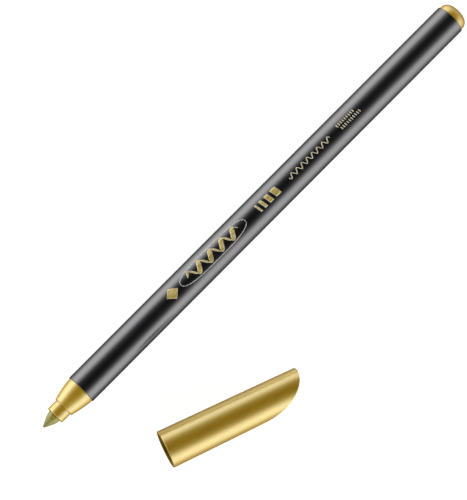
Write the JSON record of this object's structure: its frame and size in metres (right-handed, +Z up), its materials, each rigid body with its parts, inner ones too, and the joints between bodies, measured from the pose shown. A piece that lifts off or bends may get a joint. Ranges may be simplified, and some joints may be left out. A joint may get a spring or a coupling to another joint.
{
  "type": "calligraphy marker",
  "caption": "Slim fibre-tip metallic ink marker with black barrel, gold front section and rear plug, and a loose pull-off cap with a curved end cut.",
  "frame": {"origin": "middle of the barrel on the pen's axis", "axes": "+X along the pen from the nib to the rear plug, +Z up from the plane that the pen and its cap lie on"},
  "size_m": [0.1525, 0.0445, 0.0102],
  "materials": {
    "barrel_black": "satin black moulded plastic",
    "gold_plastic": "metallic gold moulded plastic, satin",
    "nib_fibre": "bonded fibre soaked with gold ink",
    "core_fibre": "soft fibre soaked with gold ink",
    "film": "clear thin film",
    "white_plastic": "soft natural polyethylene"
  },
  "bodies": {
    "pen": {"barrel": "barrel_black", "nib_holder": "gold_plastic", "nib": "nib_fibre", "reservoir_core": "core_fibre", "reservoir_film": "film", "end_plug": "gold_plastic"},
    "breather": {"breather_tube": "white_plastic"},
    "cap": {"cap_shell": "gold_plastic", "cap_liner": "white_plastic"}
  },
  "joints": [
    {"name": "cap_slide", "type": "slide", "parent": "pen", "child": "breather", "axis": [1, 0, 0], "range_m": [0, 0.0365]},
    {"name": "cap_turn", "type": "hinge", "parent": "breather", "child": "cap", "pos_m": [-0.07538, -0.01054, 0.00151], "axis": [-0.0134, -0.047, -0.9988], "range_deg": [0, 160.33]}
  ]
}
